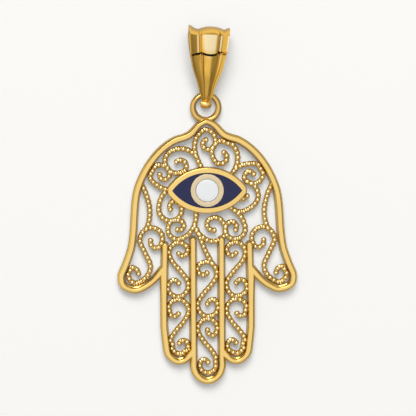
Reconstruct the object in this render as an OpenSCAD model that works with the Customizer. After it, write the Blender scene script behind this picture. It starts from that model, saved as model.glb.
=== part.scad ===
// A filigree hamsa pendant with an enamelled eye, lying face up on the plane z = 0.
// Lengths are in millimetres. X runs across the hand, Y from the fingertips to the bail, Z out of the face.
// The origin is on that plane, under the middle of the pendant's length and width.

/* [Hand] */
// Width over the two thumbs
hand_w = 16.2; // [14:0.1:20]
// Length from the middle fingertip to the top of the band
hand_l = 23.9; // [21:0.1:30]
// Width of the band round the hand
band_w = 0.65; // [0.5:0.01:0.8]
// Thickness of the band
band_t = 1.1; // [0.9:0.05:1.5]
// Width of the bars between the fingers
bar_w = 0.6; // [0.4:0.01:0.7]

/* [Scrolls] */
// Width of the scroll wire
wire_w = 0.5; // [0.4:0.01:0.6]
// Height of the scroll wire
wire_h = 0.5; // [0.4:0.05:0.6]
// Depth of the scroll wire below the face of the band
wire_drop = 0.2; // [0.1:0.05:0.3]

/* [Eye] */
// Length of the enamel between the corners of the eye
eye_l = 6.3; // [5.4:0.1:7]
// Outer diameter of the ring round the pupil
pupil_d = 2.97; // [2.4:0.01:3.2]
// Width of that ring
pupil_w = 0.45; // [0.3:0.01:0.6]
// Width of the blue enamel above and below the pupil
web_w = 0.11; // [0.08:0.01:0.3]
// Width of the gold rim round the eye
rim_w = 0.5; // [0.4:0.01:0.7]
// Height of that rim above the face of the band
rim_rise = 0.1; // [0:0.05:0.3]
// Thickness of the enamel
enamel_t = 0.5; // [0.3:0.05:0.6]
// Depth of the enamel's surface below the rim
enamel_drop = 0.06; // [0.02:0.01:0.15]
// Gap round each inlay
inlay_gap = 0.02; // [0.01:0.005:0.03]

/* [Ring] */
// Outer diameter of the ring that holds the bail
ring_d = 2.84; // [2.6:0.02:3.2]
// Diameter of its wire
ring_wire_d = 0.5; // [0.4:0.01:0.55]
// Distance of its centre above the top of the band
ring_rise = 0.97; // [0.85:0.01:1.1]
// Distance of its centre to the right of the middle of the hand
ring_side = -0.07; // [-0.1:0.01:0.1]

/* [Bail] */
// Length of the bail
bail_l = 7.3; // [6.5:0.1:9]
// Width of the bail at its wide end
bail_w = 3.7; // [3:0.05:4.5]
// Height of the bail at its crest
bail_h = 2.9; // [2.6:0.05:3.4]
// Thickness of the bail's leaf
leaf_t = 0.3; // [0.25:0.01:0.35]
// Depth of the flutes in the front leaf
flute_h = 0.32; // [0.1:0.01:0.4]
// How far the foot of the bail hangs inside the ring
foot_reach = 0.92; // [0.85:0.01:1]
// Gap between the back leaf and the ring's wire
link_gap = 0.04; // [0.03:0.01:0.08]
// Lean of the bail across the hand, in degrees
bail_lean = 2.5; // [-4:0.5:4]

/* [Hidden] */
$fn = 64;

// The plan of the hand is drawn on a grid of hundredths of its width, from the middle fingertip up.
grid_w = 100;
grid_l = 147.5;
// Most degrees that the outline and a wire turn from one point to the next
outline_step = 8;
wire_step = 20;

eye_h = pupil_d + 2 * web_w;
eye_up = 107.7;
// Share of the rim's width that is left at the corners of the eye
corner_share = 0.87;
// Share of the band's width that each line of the band runs on into the next
join_share = 1.15;
ring_z = leaf_t + link_gap + ring_wire_d / 2;
ring_y = hand_l + ring_rise;
foot_y = ring_y + ring_d / 2 - ring_wire_d - foot_reach;
total_l = foot_y + bail_l * cos(bail_lean) + bail_w / 2 * abs(sin(bail_lean));
rim_top = band_t + rim_rise;
enamel_top = rim_top - enamel_drop;
cup_floor = enamel_top - enamel_t;
wire_z = band_t - wire_drop - wire_h;
eye_y = eye_up / grid_l * hand_l;
arc_r = (eye_l ^ 2 + eye_h ^ 2) / (4 * eye_h);
arc_y = arc_r - eye_h / 2;
pupil_hole = pupil_d + 2 * inlay_gap;
disc_d = pupil_d - 2 * pupil_w - 2 * inlay_gap;

// Outline of the palm and thumb, from the top of the band to the outer finger [across, up]
palm_side = [
    [0, 147.5], [4.8, 145.7], [11.2, 139.9], [18.8, 137.2], [26.1, 132.2], [33.0, 124.4],
    [37.8, 116], [40.8, 108], [42.2, 98], [42.9, 86.3], [44.4, 75.6], [47.5, 66.9],
    [50, 60], [48.6, 54.4], [43.6, 51.2], [38.6, 50.7], [34.0, 52.6], [26.4, 58.8]
];
// Outline of the outer finger, from the thumb to the notch beside the middle finger [across, up]
outer_finger = [
    [26.4, 58.8], [26.3, 46], [25.4, 24], [22.6, 15.0], [15.6, 11.1], [9.5, 13.8]
];
// Outline of the middle finger, from its tip to that notch [across, up]
middle_finger = [
    [0, 0], [7.2, 4.0], [9.6, 10.4], [9.5, 13.8]
];

// Bars between the fingers [across at the top, up at the top, across at the foot, up at the foot]
outer_bar = [23.5, 77.2, 24.0, 54];
inner_bar = [7.9, 80.0, 8.0, 13];

// Scroll wires beside the eye and round it, each a few points that a smooth curve passes [across, up]
crown_left = [
    [-2.2, 119.2], [-5.3, 125.3], [-6.6, 133.4], [-1.0, 141.3], [4.8, 136.2], [1.0, 130.2],
    [-2.3, 133.0], [-0.3, 135.7]
];
crown_right = [
    [13.4, 116.2], [16.9, 123], [15.8, 131], [9.8, 135.3], [3.9, 132.4], [3.3, 126.2],
    [7.6, 122.3], [11.2, 126.2], [9.3, 128.7]
];
shoulder_left = [
    [-6.2, 127], [-10.0, 129.9], [-16.2, 130.7], [-22.6, 126.6], [-21.9, 119.9],
    [-16.0, 117.3], [-11.4, 120.3], [-13.6, 124.4], [-16.9, 123.5]
];
shoulder_right = [
    [16.2, 119.6], [23.4, 122.2], [29.4, 121.1], [31.2, 116.2], [28.2, 111.8],
    [24.4, 111.2], [20.8, 115.2], [23.5, 117.9], [26.0, 116.4]
];
corner_left = [
    [-20.6, 107.8], [-27.4, 110.6], [-31.5, 115.2], [-29.8, 120.6], [-24.8, 121.8],
    [-20.5, 117.6], [-23.0, 113.9], [-25.6, 114.6], [-26.1, 116.8]
];
corner_right = [
    [13.4, 97.8], [17.0, 95.7], [23.6, 97.4], [28.4, 103.6], [27.0, 109.2], [22.6, 112.4]
];
corner_tip = [
    [17.4, 102.6], [20.2, 102.8], [22.4, 104.4]
];
cheek_left = [
    [-21.6, 108.2], [-26.3, 101.2], [-25.8, 93.9], [-20.3, 90.8], [-14.6, 94.2],
    [-15.0, 100.0], [-19.2, 101.5], [-20.3, 97.1]
];
cheek_right = [
    [15.2, 96.4], [19.8, 91.2], [20.6, 83.6], [15.6, 80.4], [10.6, 83.2], [10.7, 88.2],
    [14.4, 90.0], [16.4, 87.6], [15.9, 85.4]
];
chin_left = [
    [-6.2, 96.4], [-7.1, 88.4], [-11.4, 82.5], [-16.4, 80.5], [-21.7, 85.0], [-16.8, 91.3],
    [-12.9, 88.4], [-14.4, 85.8], [-16.6, 86.0]
];
chin_right = [
    [-7.0, 87.6], [-3.2, 82.1], [3.2, 79.2], [9.3, 82.0], [9.6, 88.6], [4.6, 92.4],
    [-0.1, 88.6], [1.5, 86.0], [4.0, 85.4]
];
// Scroll wires of the middle finger [across, up]
middle_stem = [
    [-5.8, 86], [-1.2, 74.2], [2.4, 67.2]
];
middle_upper = [
    [-0.1, 61.7], [-2.6, 60.5], [-5.5, 63.4], [-0.3, 67.8], [5.3, 62.0], [2.6, 55.6],
    [-2.4, 49.9], [-5.5, 43.0], [-3.3, 38.8], [1.3, 37.4], [5.8, 42.6], [2.9, 46.8],
    [-0.1, 44.2]
];
middle_lower = [
    [-0.1, 30], [2.4, 26.7], [5.4, 30.6], [0.2, 36.0], [-5.5, 31.0], [-2.4, 23.8],
    [2.8, 17.5], [5.1, 10.8], [0.2, 5.8], [-4.8, 10.6], [-2.2, 13.3], [0.1, 11.7]
];
// Scroll wires that both sides of the hand have, for the right side [across, up]
side_line = [
    [37.6, 113.5], [32.9, 103.2], [31.7, 96.2], [33.6, 86.7]
];
thumb_scroll = [
    [31.4, 80.1], [29.0, 75.8], [24.8, 80.6], [30.8, 87.1], [37.3, 81.7], [34.4, 72.8],
    [31.5, 65.2], [35.1, 58.6], [39.9, 56.3], [44.1, 61.2], [42.2, 65.0], [39.9, 64.4],
    [38.2, 61.5]
];
finger_upper = [
    [16.0, 72.7], [13.6, 71.2], [10.9, 74.0], [15.5, 78.6], [21.2, 73.8], [19.6, 68.4],
    [14.3, 62.1], [10.5, 55.1], [16.8, 48.5], [21.8, 54.7], [18.4, 57.8], [15.9, 55.9]
];
finger_lower = [
    [16.2, 39.1], [18.6, 37.5], [21.9, 41.2], [16.4, 46.9], [10.5, 41.8], [12.9, 35.2],
    [18.3, 28.6], [21.5, 22.0], [16.0, 16.7], [10.9, 20.6], [13.0, 24.1], [15.9, 22.5]
];
single_wires = [
    crown_left, crown_right, shoulder_left, shoulder_right, corner_left, corner_right,
    corner_tip, cheek_left, cheek_right, chin_left, chin_right, middle_stem, middle_upper,
    middle_lower
];
paired_wires = [side_line, thumb_scroll, finger_upper, finger_lower];

// Upper and lower edge of the bail seen from the side, from its foot to its far end, with the half
// width and the depth of the flutes there, as shares of the bail's length, height, half width and
// flute depth [along the top, height of the top, along the base, height of the base, width, flutes]
bail_table = [
    [0.000, 0.19, 0.000, 0.12, 0.20, 0.0],
    [0.012, 0.31, 0.010, 0.04, 0.25, 0.0],
    [0.035, 0.36, 0.030, 0.00, 0.26, 0.0],
    [0.070, 0.41, 0.070, 0.00, 0.23, 0.1],
    [0.110, 0.46, 0.110, 0.00, 0.24, 0.3],
    [0.170, 0.52, 0.170, 0.00, 0.31, 0.5],
    [0.280, 0.61, 0.280, 0.00, 0.41, 0.7],
    [0.380, 0.69, 0.380, 0.00, 0.54, 0.9],
    [0.480, 0.76, 0.480, 0.00, 0.68, 1.0],
    [0.600, 0.84, 0.600, 0.00, 0.80, 1.0],
    [0.700, 0.90, 0.700, 0.00, 0.87, 1.0],
    [0.715, 0.95, 0.715, 0.00, 0.88, 1.0],
    [0.820, 0.98, 0.780, 0.00, 0.93, 1.0],
    [0.925, 1.00, 0.850, 0.00, 0.97, 1.0],
    [0.960, 0.88, 0.910, 0.05, 0.98, 1.0],
    [0.985, 0.72, 0.955, 0.15, 0.99, 1.0],
    [1.000, 0.50, 0.985, 0.28, 1.00, 1.0]
];
// The flutes across the bail, from its middle to its edge [share of the half width, rise]
flute_table = [
    [0.00, 0.95], [0.20, 0.90], [0.37, 0.65], [0.43, 0.15], [0.52, 0.00], [0.59, 0.25],
    [0.66, 0.00], [0.84, 0.35], [1.00, 1.00]
];

// A vector made one long
function unit(v) = v / norm(v);

// Direction at the middle one of three points, along the circle through them
function circle_dir(a, b, c) = unit((b - a) / ((b - a) * (b - a)) + (c - b) / ((c - b) * (c - b)));

// A direction turned over about a line
function turned_dir(dir, line) = 2 * (dir * line) * line - dir;

// Direction of a smooth curve at each of its points
function curve_dirs(p) = let(last = len(p) - 1) [
    for (i = [0:last])
        i == 0 ? turned_dir(circle_dir(p[0], p[1], p[2]), unit(p[1] - p[0])) :
        i == last ? turned_dir(circle_dir(p[last - 2], p[last - 1], p[last]), unit(p[last] - p[last - 1])) :
        circle_dir(p[i - 1], p[i], p[i + 1])
];

// Angle between two directions
function angle_of(a, b) = acos(min(1, max(-1, a * b)));

// Points from one point up to the next, as near a circular arc as the two directions allow
function stretch(a, b, dir_a, dir_b, step) =
    let(
        turn = angle_of(dir_a, unit(b - a)) + angle_of(unit(b - a), dir_b),
        count = max(1, ceil(turn / step)),
        reach = 2 * norm(b - a) / (1 + sqrt(max(0, (1 + dir_a * dir_b) / 2)))
    )
    [
        for (i = [0:count - 1])
            let(t = i / count)
            (2 * t ^ 3 - 3 * t ^ 2 + 1) * a + (t ^ 3 - 2 * t ^ 2 + t) * reach * dir_a
            + (3 * t ^ 2 - 2 * t ^ 3) * b + (t ^ 3 - t ^ 2) * reach * dir_b
    ];

// A smooth curve through a few points
function smooth(p, step) = let(dirs = curve_dirs(p)) concat(
    [for (i = [0:len(p) - 2]) each stretch(p[i], p[i + 1], dirs[i], dirs[i + 1], step)],
    [p[len(p) - 1]]
);

// Grid points turned into millimetres
function on_plan(p) = [for (q = p) [q.x / grid_w * hand_w, q.y / grid_l * hand_l]];

// The same points on the other side of the hand
function other_side(p) = [for (q = p) [-q.x, q.y]];

// A list from its end to its start
function reversed(p) = [for (i = [len(p) - 1:-1:0]) p[i]];

// Direction across a line of points, at one of them
function across(p, i) =
    let(dir = unit(p[min(i + 1, len(p) - 1)] - p[max(i - 1, 0)]))
    [-dir.y, dir.x];

// One side of a flat strip that follows a line of points
function strip_side(p, reach) = [for (i = [0:len(p) - 1]) p[i] + reach * across(p, i)];

// A flat strip along a line of points, with round ends
module strip(p, w) {
    polygon(concat(strip_side(p, w / 2), reversed(strip_side(p, -w / 2))));
    for (end = [p[0], p[len(p) - 1]])
        translate(end)
            circle(d = w, $fn = 12);
}

// Points of a list that starts on the middle line, with those of its other side before them
function both_sides(p) = concat(reversed(other_side([for (i = [1:len(p) - 1]) p[i]])), p);

// The lines of the outline, clockwise from the notch of the left thumb, each from one notch to the next
palm_line = smooth(on_plan(both_sides(palm_side)), outline_step);
finger_line = smooth(on_plan(outer_finger), outline_step);
middle_line = reversed(smooth(on_plan(both_sides(middle_finger)), outline_step));
outline_lines = [palm_line, finger_line, middle_line, reversed(other_side(finger_line))];

// A line carried straight on at both ends
function run_on(p, l) = let(last = len(p) - 1) concat(
    [p[0] + l * unit(p[0] - p[1])], p, [p[last] + l * unit(p[last] - p[last - 1])]
);

// The outline of the hand, filled
module hand_outline() {
    polygon([for (line = outline_lines) each line]);
}

// The band inside one line of the outline, run on into the band beside it
module band_inside(line) {
    long = run_on(line, join_share * band_w);
    polygon(concat(long, reversed(strip_side(long, -band_w))));
}

// A bar between two fingers
module finger_bar(bar) {
    strip(on_plan([[bar[0], bar[1]], [bar[2], bar[3]]]), bar_w);
}

// The band and the bars, flat
module band_plan() {
    intersection() {
        hand_outline();
        union() {
            for (line = outline_lines)
                band_inside(line);
            for (side = [0, 1], bar = [outer_bar, inner_bar])
                mirror([side, 0])
                    finger_bar(bar);
        }
    }
}

// The scroll wires, flat, kept inside the band
module wire_plan() {
    intersection() {
        offset(r = -band_w / 2)
            hand_outline();
        union() {
            for (wire = single_wires)
                strip(smooth(on_plan(wire), wire_step), wire_w);
            for (side = [0, 1], wire = paired_wires)
                mirror([side, 0])
                    strip(smooth(on_plan(wire), wire_step), wire_w);
        }
    }
}

// The eye's pointed oval, grown on all sides, as an upright solid
module eye_oval(grow, low, high) {
    intersection_for (side = [-1, 1])
        translate([0, eye_y + side * arc_y, low])
            cylinder(r = arc_r + grow, h = high - low, $fn = 180);
}

// The cup and rim that hold the enamel, before the cup is sunk
module eye_setting() {
    intersection() {
        eye_oval(rim_w, 0, rim_top);
        translate([0, eye_y, -1])
            cylinder(d = eye_l + 2 * corner_share * rim_w, h = rim_top + 2);
    }
}

// The round ring at the top of the hand
module top_ring() {
    translate([ring_side, ring_y, ring_z])
        rotate_extrude()
            translate([(ring_d - ring_wire_d) / 2, 0])
                circle(d = ring_wire_d, $fn = 32);
}

module hand() {
    color("goldenrod")
        translate([0, -total_l / 2, 0])
            difference() {
                union() {
                    linear_extrude(band_t)
                        offset(delta = 0)
                            band_plan();
                    translate([0, 0, wire_z])
                        linear_extrude(wire_h)
                            offset(delta = 0)
                                wire_plan();
                    eye_setting();
                    top_ring();
                }
                eye_oval(0, cup_floor, rim_top + 1);
            }
}

module blue_enamel() {
    color("midnightblue")
        translate([0, -total_l / 2, 0])
            difference() {
                eye_oval(-inlay_gap, cup_floor + inlay_gap, enamel_top);
                translate([0, eye_y, 0])
                    cylinder(d = pupil_hole, h = rim_top);
            }
}

module pupil_ring() {
    color("wheat")
        translate([0, eye_y - total_l / 2, cup_floor + inlay_gap])
            difference() {
                cylinder(d = pupil_d, h = enamel_t - inlay_gap);
                translate([0, 0, -1])
                    cylinder(d = pupil_d - 2 * pupil_w, h = enamel_t + 2);
            }
}

module white_enamel() {
    color("whitesmoke")
        translate([0, eye_y - total_l / 2, cup_floor + inlay_gap])
            cylinder(d = disc_d, h = enamel_t - inlay_gap);
}

// The flutes from edge to edge [share of the half width, rise]
flute_columns = both_sides(flute_table);

// Side view of the bail's upper or lower edge, without flutes [along, height]
function bail_edge(along, height) = [
    for (row = bail_table) [row[along] * (bail_l - flute_h), row[height] * (bail_h - flute_h)]
];
bail_upper = bail_edge(0, 1);
bail_lower = bail_edge(2, 3);

// One point of the bail's front leaf, pushed out by the flute there
function front_point(k, column) =
    let(at = bail_upper[k] + flute_h * bail_table[k][5] * column.y * across(bail_upper, k))
    [column.x * bail_table[k][4] * bail_w / 2, at.x, at.y];

// One point of its back leaf
function back_point(k, column) =
    [column.x * bail_table[k][4] * bail_w / 2, bail_lower[k].x, bail_lower[k].y];

// The bail without its hollow: a skin over the front leaf, the back leaf and the edges between them
module bail_body() {
    rows = len(bail_table);
    columns = len(flute_columns);
    back = rows * columns;
    points = concat(
        [for (k = [0:rows - 1], column = flute_columns) front_point(k, column)],
        [for (k = [0:rows - 1], column = flute_columns) back_point(k, column)]
    );
    front_faces = [
        for (k = [0:rows - 2], j = [0:columns - 2])
            let(a = k * columns + j)
            each [[a, a + columns, a + columns + 1], [a, a + columns + 1, a + 1]]
    ];
    back_faces = [for (face = front_faces) [face[0] + back, face[2] + back, face[1] + back]];
    side_faces = [
        for (k = [0:rows - 2], j = [0, columns - 1])
            let(a = k * columns + j, b = a + columns)
            each j == 0
                ? [[a, a + back, b + back], [a, b + back, b]]
                : [[a, b + back, a + back], [a, b, b + back]]
    ];
    end_faces = [
        for (j = [0:columns - 2], k = [0, rows - 1])
            let(a = k * columns + j, b = a + 1)
            each k == 0
                ? [[a, b, b + back], [a, b + back, a + back]]
                : [[a, b + back, b], [a, a + back, b + back]]
    ];
    polyhedron(points, concat(front_faces, back_faces, side_faces, end_faces));
}

// The hollow that the chain and the ring pass through, right across the bail
module bail_hollow() {
    rotate([90, 0, 90])
        linear_extrude(bail_w + 2, center = true)
            offset(delta = -leaf_t)
                polygon(concat(bail_upper, reversed(bail_lower)));
}

module bail() {
    color("goldenrod")
        translate([ring_side, foot_y - total_l / 2, 0])
            rotate([0, 0, -bail_lean])
                difference() {
                    bail_body();
                    bail_hollow();
                }
}

hand();
bail();
blue_enamel();
pupil_ring();
white_enamel();
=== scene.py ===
# %% [markdown]
# # A filigree hamsa pendant
# The pendant is a flat gold hand, filled with beaded wire scrolls, with an enamelled eye in its palm
# and a fluted bail at its top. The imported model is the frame: it says where each part is, and all
# that is made here is made in the same place, so nothing has to be fitted afterwards.

import math
import random

import bmesh
import bpy
from mathutils import Matrix, Vector


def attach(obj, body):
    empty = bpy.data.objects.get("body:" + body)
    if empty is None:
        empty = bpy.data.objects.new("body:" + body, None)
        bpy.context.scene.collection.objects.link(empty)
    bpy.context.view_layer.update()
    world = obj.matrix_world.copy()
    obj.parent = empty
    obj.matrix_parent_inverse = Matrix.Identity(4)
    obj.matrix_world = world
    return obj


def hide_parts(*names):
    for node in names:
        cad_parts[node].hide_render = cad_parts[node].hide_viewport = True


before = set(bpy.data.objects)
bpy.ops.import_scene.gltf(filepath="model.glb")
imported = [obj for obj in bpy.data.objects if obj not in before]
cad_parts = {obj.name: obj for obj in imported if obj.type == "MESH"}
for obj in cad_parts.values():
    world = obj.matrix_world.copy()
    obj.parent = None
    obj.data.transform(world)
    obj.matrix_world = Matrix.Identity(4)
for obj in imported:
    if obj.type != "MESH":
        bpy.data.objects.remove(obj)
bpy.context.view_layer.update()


print("the frame has", sorted(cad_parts))

# %% [markdown]
# ## Sizes
# A goldsmith thinks in tenths of a millimetre, so the sizes here are in millimetres and each piece
# is made at a thousand times its size in Blender's metres. It is brought down to size when it is
# finished. Filling a flat outline is also safer at that size, because the tools merge points that
# are closer than a hair. The sizes are those of the solids, so the pieces land on them. The lean is
# in degrees, and the grid is the one that the hand was drawn on, 100 wide and 147.5 long.

# %% Sizes of the pendant
hand_w, hand_l, grid_w, grid_l = 16.2, 23.9, 100, 147.5
band_w, band_t, bar_w = 0.65, 1.1, 0.6
wire_w, wire_h, wire_drop = 0.5, 0.5, 0.2
eye_l, pupil_d, pupil_w, web_w, rim_w, rim_rise = 6.3, 2.97, 0.45, 0.11, 0.5, 0.1
enamel_t, enamel_drop, inlay_gap = 0.5, 0.06, 0.02
ring_d, ring_wire_d, ring_rise, ring_side = 2.84, 0.5, 0.97, -0.07
bail_l, bail_w, bail_h, leaf_t, flute_h = 7.3, 3.7, 2.9, 0.3, 0.32
foot_reach, link_gap, bail_lean = 0.92, 0.04, 2.5

eye_h = pupil_d + 2 * web_w
arc_r = (eye_l ** 2 + eye_h ** 2) / (4 * eye_h)
arc_y = arc_r - eye_h / 2
rim_top = band_t + rim_rise
enamel_top = rim_top - enamel_drop
cup_floor = enamel_top - enamel_t
wire_z = band_t - wire_drop - wire_h / 2
ring_z = leaf_t + link_gap + ring_wire_d / 2
ring_y = hand_l + ring_rise
foot_y = ring_y + ring_d / 2 - ring_wire_d - foot_reach
lean = math.radians(bail_lean)
total_l = foot_y + bail_l * math.cos(lean) + bail_w / 2 * math.sin(lean)
low_y = -total_l / 2
eye_grid_y = 107.7
eye_y = eye_grid_y / grid_l * hand_l + low_y
print("length", round(total_l, 3), "mm; middle of the eye at", round(eye_y, 3), "mm")

# %% [markdown]
# ## The camera
# The photograph looks down on a pendant that lies on its back, from a little above and to the left
# of straight down, with a long lens. The walls that face up and left just show. The camera is built
# from three directions, ahead, right and up, because a camera that looks down has no natural up.

# %% The camera
def in_scene(name, data):
    """A new object with the data, put into the scene."""
    made = bpy.data.objects.new(name, data)
    bpy.context.scene.collection.objects.link(made)
    return made


look_at = Vector((0.0585, -0.24, 1.1)) / 1000
camera_far, seen_width, sensor = 0.25, 37.3, 36
camera_tilt, camera_roll = math.radians(5), math.radians(0.3)
tilt_to, page_out = Vector((-0.5, 0.866, 0)).normalized(), Vector((0, 0, 1))
camera_back = (page_out * math.cos(camera_tilt) + tilt_to * math.sin(camera_tilt)).normalized()
page_up = Vector((math.sin(camera_roll), math.cos(camera_roll), 0))
camera_right = (-camera_back).cross(page_up).normalized()
camera_up = camera_right.cross(-camera_back).normalized()
turn = Matrix((camera_right, camera_up, camera_back)).transposed().to_4x4()
camera_data = bpy.data.cameras.new("camera")
camera_data.sensor_width = sensor
camera_data.lens = sensor * camera_far * 1000 / seen_width
camera_data.clip_start = 0.02
camera_data.clip_end = 10
camera = in_scene("camera", camera_data)
camera.matrix_world = Matrix.Translation(look_at + camera_back * camera_far) @ turn
bpy.context.scene.camera = camera
print("lens", round(camera_data.lens, 1), "mm, camera at", [round(v, 4) for v in camera.location])

# %% [markdown]
# ## The lamps
# Polished gold shows what is round it, so its look is made by what it mirrors: a wide soft light
# straight above, which turns the flat faces a pale even gold, a small bright lamp further up the
# page, which puts the spark on each bead, and the room. Two more lamps aren't mirrored. They light
# the floor and the enamels and give the soft shadow, and the one on the right fills the shadow
# beside the bail. One kind of lamp serves for all four: a round face that looks at the pendant.

# %% Lamps that face the pendant
def soft_lamp(name, toward, far, radius, brightness, mirrored=True, on_floor=True):
    """A round lamp at a distance, in metres, whose face is as bright as it says."""
    data = bpy.data.lights.new(name, "AREA")
    data.shape = "DISK"
    data.size = 2 * radius
    data.energy = brightness * math.pi ** 2 * radius ** 2
    lamp = in_scene(name, data)
    way = Vector(toward).normalized()
    lamp.location = way * far
    lamp.rotation_euler = way.to_track_quat("Z", "Y").to_euler()
    lamp.visible_camera = False
    lamp.visible_glossy = mirrored
    lamp.visible_diffuse = on_floor
    print(name, "shines from", [round(v, 3) for v in lamp.location])


soft_lamp("overhead_light", (0.03, -0.2, 1), 0.45, 0.24, 0.22)
soft_lamp("bright_lamp", (-0.35, 1.1, 1.9), 0.5, 0.115, 4.5, on_floor=False)
soft_lamp("shadow_lamp", (-0.17, 1.2, 1.6), 1.0, 0.26, 7.4, mirrored=False)
soft_lamp("side_lamp", (0.25, 0.8, 1.8), 1.0, 0.26, 3.5, mirrored=False)

# %% [markdown]
# ## Node trees
# The room, the floor, the golds and the enamels are all made of shader nodes. By hand one adds a
# node, sets its values and draws its links. In code the same few lines would repeat for every node,
# so a few helpers do it: one adds a node with its values and links at once, two more are the nodes
# that are needed most, a mix of two colours and a change from one value to another, and the last
# starts a new material.

# %% Helpers for node trees
def feed(tree, node, inputs):
    """Gives a node's inputs values or other nodes' outputs. A colour needs no fourth number."""
    for label, value in inputs.items():
        socket = node.inputs[label]
        if isinstance(value, bpy.types.NodeSocket):
            tree.links.new(value, socket)
        else:
            socket.default_value = (*value, 1) if socket.type == "RGBA" else value


def add_node(tree, kind, inputs=None, **settings):
    node = tree.nodes.new("ShaderNode" + kind)
    for key, value in settings.items():
        setattr(node, key, value)
    feed(tree, node, inputs or {})
    return node


def mixed_color(tree, factor, a, b, blend="MIX"):
    """Two colours mixed. Each of the three is a value or a socket."""
    inputs = {"Factor": factor, "A": a, "B": b}
    return add_node(tree, "Mix", inputs, data_type="RGBA", blend_type=blend).outputs["Result"]


def ramp(tree, value, start, end, low=0.0, high=1.0, kind="SMOOTHSTEP"):
    """Goes from low to high while the value goes from start to end."""
    inputs = {"Value": value, "From Min": start, "From Max": end, "To Min": low, "To Max": high}
    return add_node(tree, "MapRange", inputs, interpolation_type=kind).outputs["Result"]


def new_paint(name):
    """A new material, its node tree and its surface."""
    paint = bpy.data.materials.new(name)
    paint.use_nodes = True
    return paint, paint.node_tree, paint.node_tree.nodes["Principled BSDF"]


# %% [markdown]
# ## The room
# The room is lighter above and to the left, where a window would be, and darker low on the right,
# and a dark card stands low at the upper left, as photographers put one beside shiny things. Walls
# and flutes that mirror the dark parts turn brown. For the light that falls on matt things the room
# is one even grey, so the floor isn't tinted, and the camera sees it as pale as the floor.

# %% The room's own light
world = bpy.data.worlds.new("studio")
bpy.context.scene.world = world
world.use_nodes = True
tree = world.node_tree
tree.nodes.clear()
ray = add_node(tree, "LightPath").outputs
way_out = add_node(tree, "TexCoord").outputs["Generated"]


def room_toward(direction):
    """How far each way out of the scene goes in a direction."""
    inputs = {0: way_out, 1: direction}
    return add_node(tree, "VectorMath", inputs, operation="DOT_PRODUCT").outputs["Value"]


card_way, window_way = Vector((-0.56, 0.8, 0.32)).normalized(), (-0.85, 0.2, 0.9)
card_edge, card_full = math.cos(math.radians(27)), math.cos(math.radians(17))
lighter_end = ramp(tree, room_toward(window_way), -0.85, 1.25, 0.15, 0.82, kind="LINEAR")
card = ramp(tree, room_toward(card_way), card_edge, card_full)
room_tone = mixed_color(tree, card, lighter_end, (0.04, 0.035, 0.03))
even_room = mixed_color(tree, ray["Is Diffuse Ray"], room_tone, (0.275, 0.275, 0.275))
room_color = mixed_color(tree, ray["Is Camera Ray"], even_room, (0.95, 0.94, 0.92))
room = add_node(tree, "Background", {"Color": room_color})
add_node(tree, "OutputWorld", {"Surface": room.outputs["Background"]})
bpy.context.scene.view_settings.view_transform = "Standard"
print("the room has", len(tree.nodes), "nodes")

# %% [markdown]
# ## The floor
# The floor is matt and pale. For the camera it also glows faintly, as in a picture that was
# brightened to white, and its mirror image in the gold glows a little less. That image is painted
# darker near the pendant than further away, as shade, because light hardly gets between the close
# walls of small jewellery.

# %% The floor
bpy.ops.object.select_all(action="DESELECT")
bpy.ops.mesh.primitive_plane_add(size=1.6, location=(0, 0, -0.00002))
floor = bpy.context.object
floor.name = "floor"
near_w, near_l = 0.0088, 0.0165
floor_paint, tree, surface = new_paint("pale_floor")
ray = add_node(tree, "LightPath").outputs
place = add_node(tree, "TexCoord").outputs["Object"]
spread = add_node(tree, "Mapping", {"Vector": place, "Scale": (1 / near_w, 1 / near_l, 1)})
far_out = add_node(tree, "VectorMath", {0: spread.outputs["Vector"]}, operation="LENGTH")
far_share = ramp(tree, far_out.outputs["Value"], 1.0, 1.25, kind="LINEAR")
# Painted shade: the floor's mirror image is darker near the pendant.
mirrored_floor = mixed_color(tree, far_share, (0.42, 0.405, 0.38), (0.85, 0.85, 0.83))
tone = mixed_color(tree, ray["Is Glossy Ray"], (0.86, 0.85, 0.825), mirrored_floor)
seen_glow = mixed_color(tree, ray["Is Camera Ray"], (0, 0, 0), (0.17, 0.168, 0.16))
glow = mixed_color(tree, ray["Is Glossy Ray"], seen_glow, (0.12, 0.118, 0.11))
feed(tree, surface, {
    "Roughness": 0.9, "Specular IOR Level": 0.0, "Base Color": tone,
    "Emission Color": glow, "Emission Strength": 1.0,
})
floor.data.materials.append(floor_paint)
print("the floor is", round(floor.dimensions.x, 2), "m wide")

# %% [markdown]
# ## Smooth curves through a few points
# Every line of the hand is drawn as a goldsmith bends wire: through a few points, as near to arcs of
# a circle as they allow. Blender's own curves could do it, but these are the same curves as in the
# solids, drawn in finer steps, so the wires lie where the solids have them.

# %% Curves
def direction_at(a, b, c):
    """Direction at the middle one of three points, along the circle through them."""
    u, v = b - a, c - b
    return (u / u.length_squared + v / v.length_squared).normalized()


def turned_over(way, line):
    return 2 * way.dot(line) * line - way


def directions(points):
    """Direction of a smooth curve at each of its points."""
    inner = [direction_at(*points[i - 1:i + 2]) for i in range(1, len(points) - 1)]
    first = turned_over(direction_at(*points[:3]), (points[1] - points[0]).normalized())
    last = turned_over(direction_at(*points[-3:]), (points[-1] - points[-2]).normalized())
    return [first] + inner + [last]


def smooth(points, step):
    """A curve through the points that turns no more than step degrees from one to the next."""
    ways = directions(points)
    found = []
    for a, b, da, db in zip(points, points[1:], ways, ways[1:]):
        chord = (b - a).normalized()
        bend = math.degrees(da.angle(chord) + chord.angle(db))
        count = max(1, math.ceil(bend / step))
        reach = 2 * (b - a).length / (1 + math.sqrt(max(0, (1 + da.dot(db)) / 2)))
        for i in range(count):
            t = i / count
            found.append((2 * t ** 3 - 3 * t ** 2 + 1) * a + (t ** 3 - 2 * t ** 2 + t) * reach * da
                         + (3 * t ** 2 - 2 * t ** 3) * b + (t ** 3 - t ** 2) * reach * db)
    return found + [points[-1]]


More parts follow.
